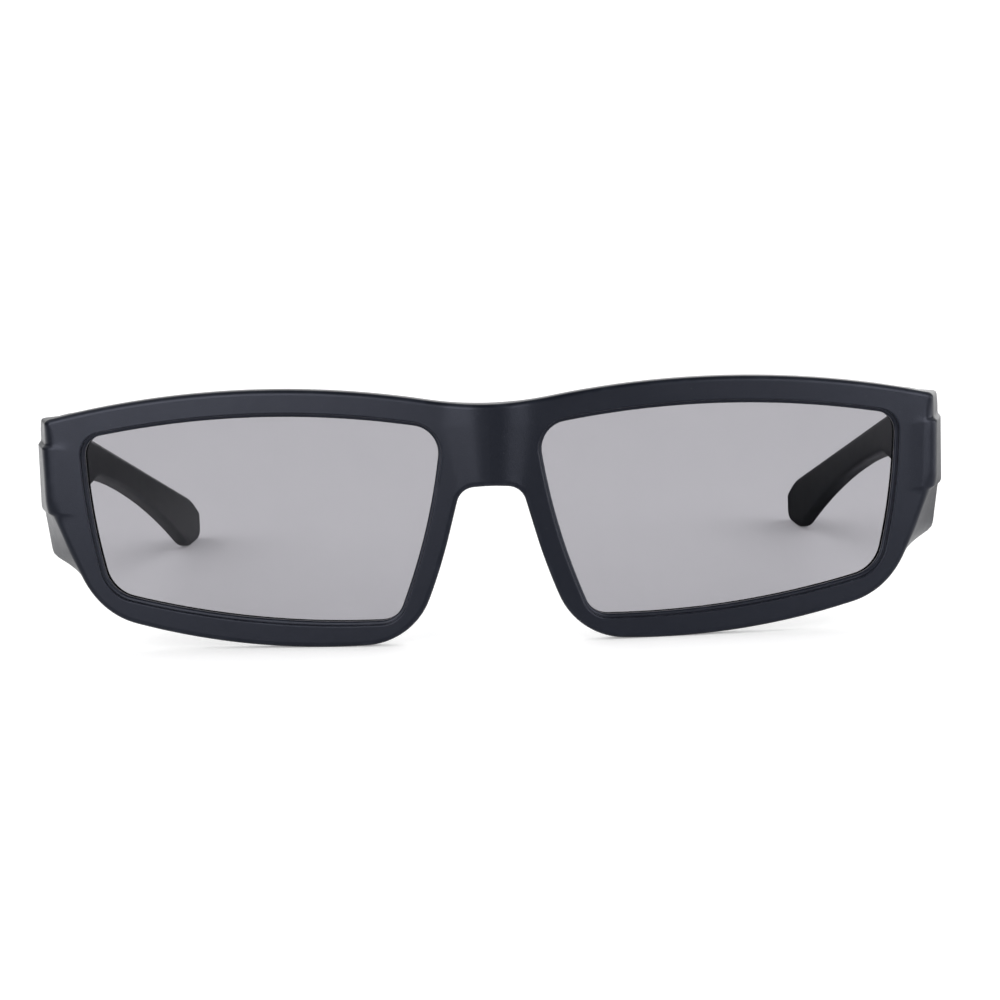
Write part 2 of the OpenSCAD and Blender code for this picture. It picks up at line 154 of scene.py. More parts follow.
def bow(a, b, depth, share=0.5):
    """A corner that bows the side from a to b outwards: share of the way along, depth across it."""
    (ax, az), (bx, bz) = a[:2], b[:2]
    dx, dz = bx - ax, bz - az
    size = math.hypot(dx, dz)
    return (ax + share * dx + depth * dz / size, az + share * dz - depth * dx / size, FIT)


def rounded_loop(corners):
    """A closed outline whose corners are arcs tangent to both sides. The arc of a corner with the radius FIT
    takes up most of its room."""
    table = np.array(corners, float)
    corner, radius = table[:, :2], table[:, 2]
    before, after = np.roll(corner, 1, 0), np.roll(corner, -1, 0)
    came, goes = unit(corner - before), unit(after - corner)
    turn = np.arctan2(came[:, 0] * goes[:, 1] - came[:, 1] * goes[:, 0], (came * goes).sum(1))
    half = np.tan(np.abs(turn) / 2)
    taken = np.maximum(radius, 0) * half
    room = np.minimum(np.linalg.norm(corner - before, axis=1) - np.roll(taken, 1),
                      np.linalg.norm(after - corner, axis=1) - np.roll(taken, -1))
    radius = np.where(radius < 0, ARC_SHARE * room / half, radius)
    start = corner - (radius * half)[:, None] * came
    centre = start + (np.sign(turn) * radius)[:, None] * np.stack([-came[:, 1], came[:, 0]], 1)
    angle = turn[:, None] * np.linspace(0, 1, ARC_POINTS)
    spoke = (start - centre)[:, None, :]
    spun = np.stack([spoke[..., 0] * np.cos(angle) - spoke[..., 1] * np.sin(angle),
                     spoke[..., 0] * np.sin(angle) + spoke[..., 1] * np.cos(angle)], -1)
    return (centre[:, None, :] + spun).reshape(-1, 2)


class Path:
    """A line of points that is walked by the distance s from its start."""

    def __init__(self, points, closed):
        """Takes the points, and joins the last to the first if the line is closed."""
        self.closed = closed
        self.points = np.concatenate([points, points[:1]]) if closed else points
        steps = np.linalg.norm(np.diff(self.points, axis=0), axis=1)
        self.run = np.concatenate([[0], np.cumsum(steps)])
        self.length = self.run[-1]

    def place(self, s):
        """The point at a distance, evenly between the two points of the line beside it."""
        s = np.mod(s, self.length) if self.closed else np.clip(s, 0, self.length)
        return np.stack([np.interp(s, self.run, self.points[:, k]) for k in (0, 1)], -1)

    def outward(self, s, reach=0.08):
        """The normal to the right of the way, square to a chord that reaches as far back as on."""
        d = unit(self.place(s + reach) - self.place(s - reach))
        return np.stack([d[..., 1], -d[..., 0]], -1)

    def nearest(self, x, z):
        """The distance at which the line comes nearest to a point."""
        s = np.linspace(0, self.length, SEARCH_POINTS)
        return s[np.argmin(np.linalg.norm(self.place(s) - [x, z], axis=1))]


def front_half_path():
    """The left half of the front's outline from the top of the nose gap, round the rim, to the dip of the
    brow, and how far it was raised to stand on height 0."""
    nose, foot = (NOSE_X, NOSE_Z, NOSE_R), (FOOT_X, FOOT_Z, FOOT_R)
    cheek = (CORNER_X - CHEEK_IN, CHEEK_Z, CHEEK_R)
    bend = (CORNER_X - BEND_IN, BEND_Z, BEND_R)
    corner, dip = (CORNER_X, CORNER_Z, CORNER_R), (0.0, DIP_Z, DIP_R)
    half = [nose, bow(nose, foot, NOSE_BOW), foot, bow(foot, cheek, FOOT_BOW), cheek, bend, corner,
            bow(corner, dip, BROW_BOW, BROW_PEAK)]
    arch = bow((-NOSE_X, NOSE_Z), (NOSE_X, NOSE_Z), -NOSE_ARCH)
    loop = rounded_loop([arch] + half + [dip] + [(-x, z, r) for x, z, r in reversed(half)])
    settle = -loop[:, 1].min()
    middle = ARC_POINTS // 2
    points = loop[middle:(len(half) + 1) * ARC_POINTS + middle + 1].copy()
    points[[0, -1], 0] = 0.0
    return Path(points + [0, settle], False), settle


def opening_corners(settle):
    """Corners of the left lens opening in the plane of its rim: distance along the rim, height, radius."""
    along = 1 / math.cos(WRAP)
    foot = ((FOOT_X + RIM_FOOT) * along, FOOT_Z + RIM_SILL, OPENING_FOOT_R)
    cheek = ((CORNER_X - CHEEK_IN - RIM_CHEEK) * along, CHEEK_Z + RIM_SILL, OPENING_CHEEK_R)
    outer = ((CORNER_X - RIM_SIDE) * along, CORNER_Z - RIM_BROW, OPENING_OUTER_R)
    inner = ((BRIDGE_X + RIM_BRIDGE) * along, DIP_Z - RIM_BROW, OPENING_INNER_R)
    corners = [foot, bow(foot, cheek, OPENING_SILL_BOW), cheek, bow(cheek, outer, OPENING_SIDE_BOW),
               outer, bow(outer, inner, OPENING_BROW_BOW), inner, bow(inner, foot, OPENING_NOSE_BOW)]
    return [(x, z + settle, r) for x, z, r in corners]


OUTLINE, SETTLE = front_half_path()
OPENING = Path(rounded_loop(opening_corners(SETTLE)), True)

# Places on the outline, as (across, height), each with the place on the lens opening that faces it
FACING = (((0.0, NOSE_Z + NOSE_ARCH + SETTLE), (8.3, 28.3)), ((5.6, 23.5), (9.2, 25.2)),
          ((10.6, 8.0), (14.2, 8.0)), ((19.0, 0.4), (19.6, 3.9)),
          ((57.0, 2.8), (57.5, 7.8)), ((68.9, 14.5), (64.7, 14.4)),
          ((72.6, 24.0), (66.3, 23.4)), ((73.0, 34.2), (66.75, 31.6)), ((73.0, 38.5), (66.1, 35.4)),
          ((68.0, 40.0), (63.0, 37.2)), ((12.0, 40.0), (13.0, 37.2)), ((0.0, 38.9), (9.3, 34.9)))

# Round an end piece: places on the outline, each with its rear outer edge, inner edge and inner foot.
# At the first and the last, and beyond them, the rim has no end piece.
WING_STATIONS = (((66.0, 7.6), None, None, None),
                 ((69.5, 16.0), (HEEL_X, HEEL_Z), (WING_INNER_X + 0.1, 15.8), (68.2, 16.8)),
                 ((72.55, 23.7), (WING_X - 0.05, 22.9), (WING_INNER_X, 23.1), (68.7, 23.2)),
                 ((73.0, 36.4), (WING_X, 36.2), (WING_INNER_X, 35.2), (68.9, 34.6)),
                 ((72.8, 38.5), (WING_X - 0.2, WING_TOP - 0.1), (WING_INNER_X, 36.7), (68.6, 36.0)),
                 ((71.2, 39.0), (71.7, WING_TOP), (70.2, 37.3), (68.3, 36.6)),
                 ((69.0, 39.4), None, None, None))

# Off the end piece its three rows lie on the rim's rear face, these shares of the way from outline to lens
REAR_SHARE, INNER_SHARE, FOOT_SHARE = 0.0, 0.35, 0.7


def bulge_ramp(x):
    """A level crown that bends softly into a straight flank: half of u + sqrt(u^2 + soft^2), where u is the
    distance past the crown."""
    u = x - BULGE_CROWN
    return (u + np.sqrt(u * u + BULGE_SOFT ** 2)) / 2


def rim_front(x, z):
    """Depth of the front face: the more forward of the bridge's bulge, which narrows downwards, and the
    swept-back rim, with a soft crease between them."""
    x = np.abs(x)
    wide = 1 - BULGE_TAPER * np.clip(BULGE_Z - z, 0, BULGE_FALL)
    rise = bulge_ramp(x / wide) - bulge_ramp(0.0)
    bulge = BRIDGE_RISE * rise / (bulge_ramp(BRIDGE_X) - bulge_ramp(0.0))
    rim = FACE_Y + x * math.tan(WRAP)
    h = np.clip(0.5 + 0.5 * (rim - bulge) / CREASE, 0, 1)
    return rim + (bulge - rim) * h - CREASE * h * (1 - h)


def rim_rear(x):
    """Depth of the rear face: the deeper of the swept-back rim's rear and the bridge's flat back, with a
    soft crease between them."""
    rim = FACE_Y + np.abs(x) * math.tan(WRAP) + RIM_T / math.cos(WRAP)
    h = np.clip(0.5 + 0.5 * (BRIDGE_T - rim) / CREASE, 0, 1)
    return rim + (BRIDGE_T - rim) * h + CREASE * h * (1 - h)


def on_front(spots):
    """Places on the front face from (across, height)."""
    return np.stack([spots[:, 0], rim_front(spots[:, 0], spots[:, 1]), spots[:, 1]], -1)


def on_rear(spots):
    """Places on the rear face from (across, height)."""
    return np.stack([spots[:, 0], rim_rear(spots[:, 0]), spots[:, 1]], -1)


def on_rim(loop, t):
    """Places on the left rim from (distance along it, height) and a depth t behind its front face."""
    along, z = loop[..., 0], loop[..., 1]
    return np.stack([along * math.cos(WRAP) - t * math.sin(WRAP),
                     FACE_Y + along * math.sin(WRAP) + t * math.cos(WRAP), z], -1)


def section_rows(points, radii, runs, bends):
    """Rows of a section through its control points, each a (columns, 3) array.
    A corner becomes a quadratic curve that leaves each side a radius away. A run adds rows between two
    corners, which crowd to its ends. Two radii that would overlap on a short side are both cut to fit it.
    The second result is 1 in the middle of a rounded right angle, less in a weaker bend, and 0 elsewhere."""
    f = np.linspace(0, 1, bends + 1)[:, None, None]
    count, columns = len(points), len(points[0])
    radii = [np.broadcast_to(np.asarray(r, float), (columns,)) for r in radii]
    room = []
    for k in range(count):
        after = (k + 1) % count
        side = np.linalg.norm(points[after] - points[k], axis=-1)
        room.append(np.minimum(1, side / np.maximum(radii[k] + radii[after], TINY)))
    corners = []
    for k, here in enumerate(points):
        if not radii[k].any():
            corners.append((here[None], np.zeros((1, columns))))
            continue
        r = (radii[k] * np.minimum(room[k - 1], room[k]))[:, None]
        back, on = unit(points[k - 1] - here), unit(points[(k + 1) % count] - here)
        bend = np.clip(1 + (back * on).sum(-1), 0, 1)
        corners.append(((1 - f) ** 2 * (here + back * r) + 2 * f * (1 - f) * here + f * f * (here + on * r),
                        np.sin(np.pi * f[:, :, 0]) * bend))
    rows, edge = [], []
    for k, (curve, weight) in enumerate(corners):
        rows.append(curve)
        edge.append(weight)
        if k < len(runs) and runs[k]:
            g = (1 - np.cos(np.pi * np.arange(1, runs[k] + 1) / (runs[k] + 1))) / 2
            start, end = curve[-1], corners[(k + 1) % count][0][0]
            rows.append(start + (end - start) * g[:, None, None])
            edge.append(np.zeros((runs[k], columns)))
    return np.concatenate(rows), np.concatenate(edge)


def grid_faces(rows, columns, around, over):
    """Quads of a grid; around joins the last column to the first, over joins the last row to the first."""
    r = np.arange(rows if over else rows - 1)[:, None]
    c = np.arange(columns if around else columns - 1)[None, :]
    r1, c1 = (r + 1) % rows, (c + 1) % columns
    quads = np.stack([r * columns + c, r * columns + c1, r1 * columns + c1, r1 * columns + c], -1)
    return quads.reshape(-1, 4)


def patch(rows, edge, around=True, over=False, caps=False):
    """A grid of places with its quads, its edge mask and, with caps, one face on the first and last row."""
    n, m = rows.shape[:2]
    faces = grid_faces(n, m, around, over).tolist()
    if caps:
        faces += [list(range(m)), list(range((n - 1) * m, n * m))]
    return rows.reshape(-1, 3), faces, edge.reshape(-1)


def on_side(patches, side):
    """Patches made for the left: as they are with side 1, across the middle plane with side -1."""
    return [(places * [side, 1, 1], faces, edge) for places, faces, edge in patches]


def mesh(name, patches, material, body, nodes):
    """One closed piece from patches of places: doubles merged, faces turned outwards, edge mask kept."""
    starts = np.cumsum([0] + [len(p[0]) for p in patches])
    places = np.concatenate([p[0] for p in patches])
    places = (places - [0, REACH / 2, 0]) * MM
    faces = [[i + start for i in face] for p, start in zip(patches, starts) for face in p[1]]
    data = bpy.data.meshes.new(name)
    data.from_pydata(places, [], faces)
    data.attributes.new("edge", "FLOAT", "POINT").data.foreach_set(
        "value", np.concatenate([p[2] for p in patches]).astype(np.float32))
    work = bmesh.new()
    work.from_mesh(data)
    bmesh.ops.remove_doubles(work, verts=work.verts, dist=MERGE_METRES)
    bmesh.ops.recalc_face_normals(work, faces=work.faces)
    work.to_mesh(data)
    work.free()
    data.polygons.foreach_set("use_smooth", np.ones(len(data.polygons), bool))
    data.materials.append(material)
    piece = bpy.data.objects.new(name, data)
    bpy.context.scene.collection.objects.link(piece)
    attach(piece, body)
    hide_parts(*nodes)


def smoothed(values, along, width):
    """Values along a line passed through a bell filter, so that straight stretches join in round bends."""
    steps = np.linspace(along[0], along[-1], FILTER_STEPS)
    spread = np.arange(-FILTER_REACH, FILTER_REACH + 1) * (steps[1] - steps[0])
    bell = np.exp(-0.5 * (spread / width) ** 2)
    bell /= bell.sum()
    even = np.pad(np.interp(steps, along, values), FILTER_REACH, mode="edge")
    return np.interp(along, steps, np.convolve(even, bell, "valid"))


def rim_columns():
    """Distances round the front's outline. Their number for each millimetre is an even rate, plus a multiple
    of the curvature, plus a bell at the heights of the band's edges and the hinge's slot on the side."""
    even = np.linspace(0, OUTLINE.length, RATE_POINTS)
    outline, outward = OUTLINE.place(even), OUTLINE.outward(even)
    curve = np.linalg.norm(np.gradient(outward, even, axis=0), axis=1)
    side = outline[:, 0] > CORNER_X - CROWDED_IN
    rate = 1 / COLUMN_STEP + COLUMN_BEND * curve
    for z, extra, width in CROWDED:
        rate = rate + side * extra * np.exp(-((outline[:, 1] - z) / width) ** 2)
    total = np.concatenate([[0], np.cumsum((rate[1:] + rate[:-1]) / 2 * np.diff(even))])
    return np.interp(np.linspace(0, total[-1], int(total[-1])), total, even)


def opening_for(along):
    """Distance round the lens opening that faces each distance round the outline, evenly between the pairs
    in FACING. The other results are that distance for the first pair and for the last."""
    outline = [OUTLINE.nearest(*here) for here, _ in FACING]
    opening = [OPENING.nearest(x / math.cos(WRAP), z) for _, (x, z) in FACING]
    opening = np.unwrap(opening, period=OPENING.length)
    return np.interp(along, outline, opening), opening[0], opening[-1]


def end_piece_rows(along, outline, rebate):
    """The end piece's rear outer edge, inner edge and inner foot for each column.
    Each follows stations round the outline; off the end piece all three lie on the rear face of the rim."""
    at = [OUTLINE.nearest(*station[0]) for station in WING_STATIONS]
    there = [0.0 if station[1] is None else 1.0 for station in WING_STATIONS]
    weight = smoothed(np.interp(along, at, there), along, WING_BLEND)
    rows = []
    for k, share in enumerate((REAR_SHARE, INNER_SHARE, FOOT_SHARE)):
        flat = on_rear(outline + (rebate - outline) * share)
        held = np.array([station[k + 1] or [np.interp(a, along, flat[:, j]) for j in (0, 2)]
                         for station, a in zip(WING_STATIONS, at)])
        x, z = (smoothed(np.interp(along, at, held[:, j]), along, WING_SOFT) for j in (0, 1))
        depth = rim_rear(x) if share == FOOT_SHARE else np.full_like(x, WING_BACK)
        wing = np.stack([x, depth, z], -1)
        rows.append(flat + (wing - flat) * weight[:, None])
    return rows


def raised_band(places):
    """Lifts the band off the end piece: forward on the face from nothing to its full height at the corner,
    outward on the side, between two heights that are joined by smooth steps."""
    x, y, z = places[..., 0], places[..., 1], places[..., 2]
    high = between(BAND_LOW, BAND_HIGH, BAND_SOFT, z)
    behind = np.clip((y - rim_front(x, z)) / BAND_FADE, 0, 1)
    forward = BAND_FORWARD * ease(CORNER_X - BAND_RUN, CORNER_X, x) * (1 - behind)
    back = np.clip((y - WING_FRONT) / (WING_BACK - WING_FRONT), 0, 1)
    out = (BAND_OUT + (BAND_PROUD - BAND_OUT) * back) * ease(CORNER_X - BAND_FROM, CORNER_X - BAND_TO, x)
    return np.stack([x + high * out, y - high * forward, z], -1)


def knuckle_pocket(places):
    """Hollows the end piece to a cylinder about the hinge, past both ends of the slot between the lugs, so
    that the knuckle can turn."""
    x, y, z = places[..., 0], places[..., 1], places[..., 2]
    r = KNUCKLE_R + SWING_GAP
    wall = HINGE_Y - np.sqrt(np.maximum(r ** 2 - (x - HINGE_X) ** 2, 0))
    cut = between(SLOT_LOW - POCKET_OVER, SLOT_HIGH + POCKET_OVER, POCKET_SOFT, z)
    return np.stack([x, y + cut * np.minimum(wall - y, 0) * (np.abs(x - HINGE_X) < r), z], -1)


def front_shell():
    """The left half of the front: columns run from the lens opening to the outline, and to the middle plane
    over the bridge; rows run round the section from the lens seat over the step, face, side and back."""
    along = rim_columns()
    facing, at_nose, at_brow = opening_for(along)
    outline, outward = OUTLINE.place(along), OUTLINE.outward(along)
    outline[[0, -1], 0] = 0.0
    outward[[0, -1], 0] = 0.0
    side = smoothed(ease(*SIDE_X, outline[:, 0]) * (1 - ease(*SIDE_Z, outline[:, 1])), along, SIDE_BLEND)
    front_r = RIM_FRONT_R + SIDE_EXTRA_R * side
    brim = outline - front_r[:, None] * outward

    # More columns run from the opening to a seam down the middle plane
    seam = np.linspace(0, 1, SEAM_COLUMNS + 2)[1:-1]
    seam_z = brim[-1, 1] + (brim[0, 1] - brim[-1, 1]) * seam
    brim_and_seam = np.concatenate([brim, np.stack([np.zeros_like(seam), seam_z], -1)])
    at_opening = np.concatenate([facing, at_brow + (at_nose + OPENING.length - at_brow) * seam])
    loop, away = OPENING.place(at_opening), OPENING.outward(at_opening)

    # From the lens seat over the step to the face
    seat = on_rim(loop, LENS_SEAT)
    wall = on_rim(loop, STEP_DEPTH)
    ledge = on_rim(loop + STEP_W * away, STEP_DEPTH)
    face = on_front(on_rim(loop + STEP_W * away, 0.0)[:, [0, 2]])
    rows, edge = section_rows([seat, wall, ledge, face, on_front(brim_and_seam)],
                              [0, STEP_WALL_R, STEP_LEDGE_R, STEP_FACE_R, 0],
                              runs=[2, 1, 2, FACE_ROWS], bends=4)
    flat = rows[-(FACE_ROWS + 1):]
    flat[..., 1] = rim_front(flat[..., 0], flat[..., 2])
    front = patch(raised_band(rows), edge)

    # Over the flank; by the middle plane the rear rounding runs in square to the outline, not to the lens
    rebate = on_rim(loop + LIP_W * away, RIM_T)
    rebate_foot = on_rim(loop + LIP_W * away, LENS_SEAT)
    columns = len(along)
    rear, inner, foot = end_piece_rows(along, outline, rebate[:columns, [0, 2]])
    to_lens = ease(0, SQUARE_X, outline[:, 0])[:, None]
    square = -np.stack([outward[:, 0], np.zeros_like(along), outward[:, 1]], -1)
    rear_in = rear + unit(square + (unit(inner - rear) - square) * to_lens) * REAR_R
    rows, edge = section_rows([on_front(brim), on_front(outline), rear, rear_in], [0, front_r, REAR_R, 0],
                              runs=[0, 9, 0], bends=7)
    flank = patch(raised_band(rows), edge, around=False)

    # Over the back and down the rebate to the lens seat again
    seam_z = rear_in[-1, 2] + (rear_in[0, 2] - rear_in[-1, 2]) * seam
    back_seam = on_rear(np.stack([np.zeros_like(seam), seam_z], -1))
    back_rows = [np.concatenate([rear_in, back_seam])]
    for row, share in ((inner, INNER_SHARE), (foot, FOOT_SHARE)):
        over_bridge = back_seam + (rebate[columns:] - back_seam) * share
        back_rows.append(np.concatenate([row, on_rear(over_bridge[:, [0, 2]])]))
    rows, edge = section_rows(back_rows + [rebate, rebate_foot, seat],
                              [0, WING_INNER_R, WING_FOOT_R, REBATE_R, REBATE_FOOT_R, 0],
                              runs=[END_ROWS, 5, 4, 2, 2], bends=4)
    rows[:END_ROWS + 1] = raised_band(rows[:END_ROWS + 1])
    back = patch(knuckle_pocket(rows), edge)
    return [front, flank, back]


def pierced_block(outline, bore_r, low, high):
    """A hinge block: the section between bore and outline, with rounded edges, carried round the axis."""
    axis = np.array([HINGE_X, HINGE_Y])
    bore = axis + bore_r * unit(outline - axis)
    corners = [np.concatenate([plan, np.full((len(outline), 1), z)], 1)
               for plan, z in ((bore, low), (outline, low), (outline, high), (bore, high))]
    rows, edge = section_rows(corners, [BORE_EDGE_R, BLOCK_EDGE_R, BLOCK_EDGE_R, BORE_EDGE_R],
                              runs=[BLOCK_RUN] * 4, bends=3)
    return patch(rows, edge, over=True)


def lug_outline(way, root, root_in, root_out):
    """Plan of a hinge block: a half circle about the axis, on its back with way 1 and on its front with -1,
    and a root that runs the other way."""
    angle = np.linspace(0, np.pi, LUG_ARC_POINTS)
    arc = np.stack([HINGE_X + KNUCKLE_R * np.cos(angle), HINGE_Y + way * KNUCKLE_R * np.sin(angle)], -1)
    end_y = HINGE_Y - way * root
    corners = np.array([arc[-1], [HINGE_X - root_in, end_y], [HINGE_X + root_out, end_y], arc[0]])
    f = np.linspace(0, 1, LUG_SIDE_POINTS)[1:, None]
    sides = [corners[k] + (corners[k + 1] - corners[k]) * f for k in range(3)]
    return np.concatenate([arc] + sides)[:-1]


def fixed_lugs():
    """The two lugs that grow out of an end piece and hold its pin."""
    plan = lug_outline(1, LUG_ROOT, LUG_ROOT_HALF, LUG_ROOT_HALF)
    return [pierced_block(plan, LUG_BORE_R, low, high)
            for low, high in ((LUG_LOW, SLOT_LOW), (SLOT_HIGH, LUG_HIGH))]


def temple_knuckle():
    """The knuckle between the lugs, with a root that runs back into the temple."""
    plan = lug_outline(-1, KNUCKLE_ROOT, KNUCKLE_ROOT_IN, KNUCKLE_ROOT_OUT)
    return pierced_block(plan, KNUCKLE_BORE_R, SLOT_LOW + KNUCKLE_GAP, SLOT_HIGH - KNUCKLE_GAP)


def temple_sides(depth):
    """Lower and upper edge of a temple at each depth, from its rounded outline in side view."""
    head_end = (TEMPLE_FRONT + HEAD_LEN, HEAD_LOW, HEAD_R)
    neck_end = (TEMPLE_FRONT + HEAD_LEN + NECK_LEN, HEAD_LOW + NECK_RISE, NECK_R)
    heel = (REACH - TIP_FLAT, 0.0, TIP_HEEL_R)
    under = [(TEMPLE_FRONT, HEAD_LOW, TEMPLE_FRONT_R), head_end, neck_end, bow(neck_end, heel, -UNDER_BOW),
             heel, (REACH, 0.0, TIP_LOW_R)]
    over = [(REACH, TIP_TOP, TIP_TOP_R), (REACH - TIP_SLOPE_LEN, TIP_SHOULDER, TIP_SHOULDER_R),
            (TEMPLE_FRONT, HEAD_TOP, TEMPLE_FRONT_R)]
    loop = rounded_loop(under + over)
    low, up = loop[:len(under) * ARC_POINTS], loop[len(under) * ARC_POINTS:][::-1]
    return np.interp(depth, low[:, 0], low[:, 1]), np.interp(depth, up[:, 0], up[:, 1])


def temple_faces(depth):
    """Inner and outer face of a temple at each depth: a straight inner face, and an outer one that bends at
    the waist as the bulge does. Before the knuckle's end the inner face steps out, clear of the knuckle."""
    end = REACH + TAPER_PAST_TIP
    inner = HEAD_INNER_X - TEMPLE_LEAN / (end - TEMPLE_FRONT) * (depth - TEMPLE_FRONT)
    waist = TEMPLE_FRONT + WAIST_LEN
    rear_rate = (WAIST_T - TIP_T) / (end - waist)
    head_rate = (HEAD_T - WAIST_T) / WAIST_LEN
    x = waist - depth
    outer = inner + WAIST_T + rear_rate * x
    outer = outer + (head_rate - rear_rate) * (x + np.sqrt(x * x + WAIST_SOFT ** 2)) / 2
    cover = ease(KNUCKLE_END + COVER_FROM, KNUCKLE_END + SWING_GAP + COVER_TO, depth)
    shield = HINGE_X + KNUCKLE_R + SWING_GAP
    return shield + (inner - shield) * cover, outer


def temple_depths():
    """Depths of a temple's sections, which crowd at its rounded front, behind the knuckle and at its tip."""
    front_turn, tip_turn = np.linspace(0, np.pi / 2, 6), np.linspace(0, np.pi / 2, 42)
    return np.concatenate([TEMPLE_FRONT + FRONT_EDGE_R * (1 - np.cos(front_turn)),
                           np.linspace(TEMPLE_FRONT + 0.4, KNUCKLE_END, 8),
                           np.linspace(KNUCKLE_END + 0.1, KNUCKLE_END + 1.0, 14),
                           np.linspace(KNUCKLE_END + 1.4, TIP_START - 1.0, 120),
                           TIP_START + (REACH - TIP_START) * np.sin(tip_turn)])


def round_section():
    """Points round a rounded rectangle: the side of its middle on which the corner's centre lies, across and
    up, which goes evenly between -1 and 1 along a side, and the angle of the radius there."""
    quarters = ((1, 1), (-1, 1), (-1, -1), (1, -1))
    turn = np.linspace(0, np.pi / 2, CORNER_POINTS)
    parts = []
    for k, (across, up) in enumerate(quarters):
        next_across, next_up = quarters[(k + 1) % 4]
        f = np.concatenate([np.zeros(CORNER_POINTS), np.linspace(0, 1, 8 if up != next_up else 5)[1:-1]])
        angle = np.concatenate([turn, np.full(len(f) - CORNER_POINTS, np.pi / 2)]) + k * np.pi / 2
        parts.append([across + (next_across - across) * f, up + (next_up - up) * f, angle])
    return (np.concatenate(part)[None, :] for part in zip(*parts))


def temple_body():
    """A temple: a rounded rectangle carried back along the depth, between its two faces and its two edges,
    and drawn in at both ends along a quarter ellipse."""
    depth = temple_depths()
    low, up = temple_sides(depth)
    inner, outer = temple_faces(depth)
    front = np.clip(1 - (depth - TEMPLE_FRONT) / FRONT_EDGE_R, 0, 1)
    tip = np.clip(1 - (REACH - depth) / TIP_EDGE_LEN, 0, 1)
    inset_front = FRONT_EDGE_R * (1 - np.sqrt(1 - front ** 2))
    inset_tip = TIP_EDGE_IN * (1 - np.sqrt(1 - tip ** 2))
    half_x = (outer - inner) / 2 - inset_front - inset_tip
    half_z = np.maximum((up - low) / 2 - inset_front, LEAST_HALF)
    r = np.minimum(TEMPLE_EDGE_R, 2 * EDGE_SHARE * np.minimum(half_x, half_z))

    across, upward, angle = round_section()
    x = ((inner + outer) / 2)[:, None] + across * (half_x - r)[:, None] + np.cos(angle) * r[:, None]
    z = ((low + up) / 2)[:, None] + upward * (half_z - r)[:, None] + np.sin(angle) * r[:, None]
    rows = np.stack([x, np.broadcast_to(depth[:, None], x.shape), z], -1)
    corner = np.abs(np.sin(2 * np.mod(angle, np.pi / 2)) * (np.abs(across * upward) == 1))
    return patch(rows, np.broadcast_to(corner, x.shape), caps=True)


def lens_sheet():
    """A laminated lens: the outline drawn in towards its middle on the front and on the back, joined round
    its chamfered edge."""
    at = np.linspace(0, OPENING.length, LENS_COLUMNS, endpoint=False)
    loop, away = OPENING.place(at), OPENING.outward(at)
    rim, middle = loop + LENS_OVERLAP * away, loop.mean(0)
    drawn_in = rim - LENS_EDGE * away
    near, far = LENS_SEAT + LENS_SLACK, RETAINER_SEAT - LENS_SLACK
    inside = [middle + (rim - middle) * share for share in (0.0, 0.3, 0.6, 0.85, 0.97)]
    front = [on_rim(line, near) for line in inside + [drawn_in]]
    edge = [on_rim(rim, near + LENS_EDGE), on_rim(rim, far - LENS_EDGE)]
    back = [on_rim(line, far) for line in [drawn_in] + inside[::-1]]
    rows = np.stack(front + edge + back)
    return patch(rows, np.zeros(rows.shape[:2]))


def retainer_ring():
    """A retainer: a small rounded rectangle carried round the lens opening, behind the lens."""
    at = np.linspace(0, OPENING.length, RING_COLUMNS, endpoint=False)
    loop, away = OPENING.place(at), OPENING.outward(at)
    near, far = RETAINER_SEAT, RIM_T - RING_SLACK
    corners = [on_rim(loop + d * away, t)
               for d, t in ((RING_IN, near), (RING_OUT, near), (RING_OUT, far), (RING_IN, far))]
    rows, edge = section_rows(corners, [RING_FRONT_R, RING_FRONT_R, RING_OUTER_R, RING_INNER_R],
                              runs=[1, 1, 1, 1], bends=3)
    return patch(rows, edge, over=True)


def pin():
    """A hinge pin: a profile with chamfered, slightly domed ends turned about the hinge axis."""
    end = np.array(PIN_END)
    line = np.concatenate([end + [0, LUG_LOW], end[::-1] * [1, -1] + [0, LUG_HIGH]])
    angle = np.linspace(0, 2 * np.pi, PIN_COLUMNS, endpoint=False)
    rows = np.stack([HINGE_X + line[:, :1] * np.cos(angle), HINGE_Y + line[:, :1] * np.sin(angle),
                     np.broadcast_to(line[:, 1:], (len(line), PIN_COLUMNS))], -1)
    return patch(rows, np.zeros(rows.shape[:2]))


def add(tree, kind, values=None, **settings):
    """A node with its settings and its inputs."""
    node = tree.nodes.new(kind)
    for key, value in settings.items():
        setattr(node, key, value)
    feed(tree, node, values or {})
    return node


def feed(tree, node, values):
    """Gives a node its inputs by name or number: a socket is linked, anything else is a value."""
    for key, value in values.items():
        if isinstance(value, bpy.types.NodeSocket):
            tree.links.new(value, node.inputs[key])
        else:
            node.inputs[key].default_value = value


def maths(tree, operation, *values):
    """The result of a Math node."""
    return add(tree, "ShaderNodeMath", dict(enumerate(values)), operation=operation).outputs[0]


def product(tree, first, second):
    """One value times another."""
    return maths(tree, "MULTIPLY", first, second)


def ramp(tree, value, low, high, start, end):
    """A value that goes evenly from start at low to end at high, and stays there."""
    return add(tree, "ShaderNodeMapRange", {"Value": value, "From Min": low, "From Max": high,
                                            "To Min": start, "To Max": end}).outputs[0]


def mixed(tree, share, first, second):
    """A colour that goes from the first to the second as the share goes from 0 to 1."""
    return add(tree, "ShaderNodeMix", {0: share, 6: first, 7: second}, data_type="RGBA").outputs[2]


def blend(tree, share, first, second):
    """A value that goes from the first to the second as the share goes from 0 to 1."""
    return add(tree, "ShaderNodeMix", {0: share, 2: first, 3: second}).outputs[0]


def noise(tree, place, scale, detail, **more):
    """Soft noise over a place, with further inputs of the node by name."""
    values = {"Vector": place, "Scale": scale, "Detail": detail, **more}
    return add(tree, "ShaderNodeTexNoise", values).outputs["Fac"]


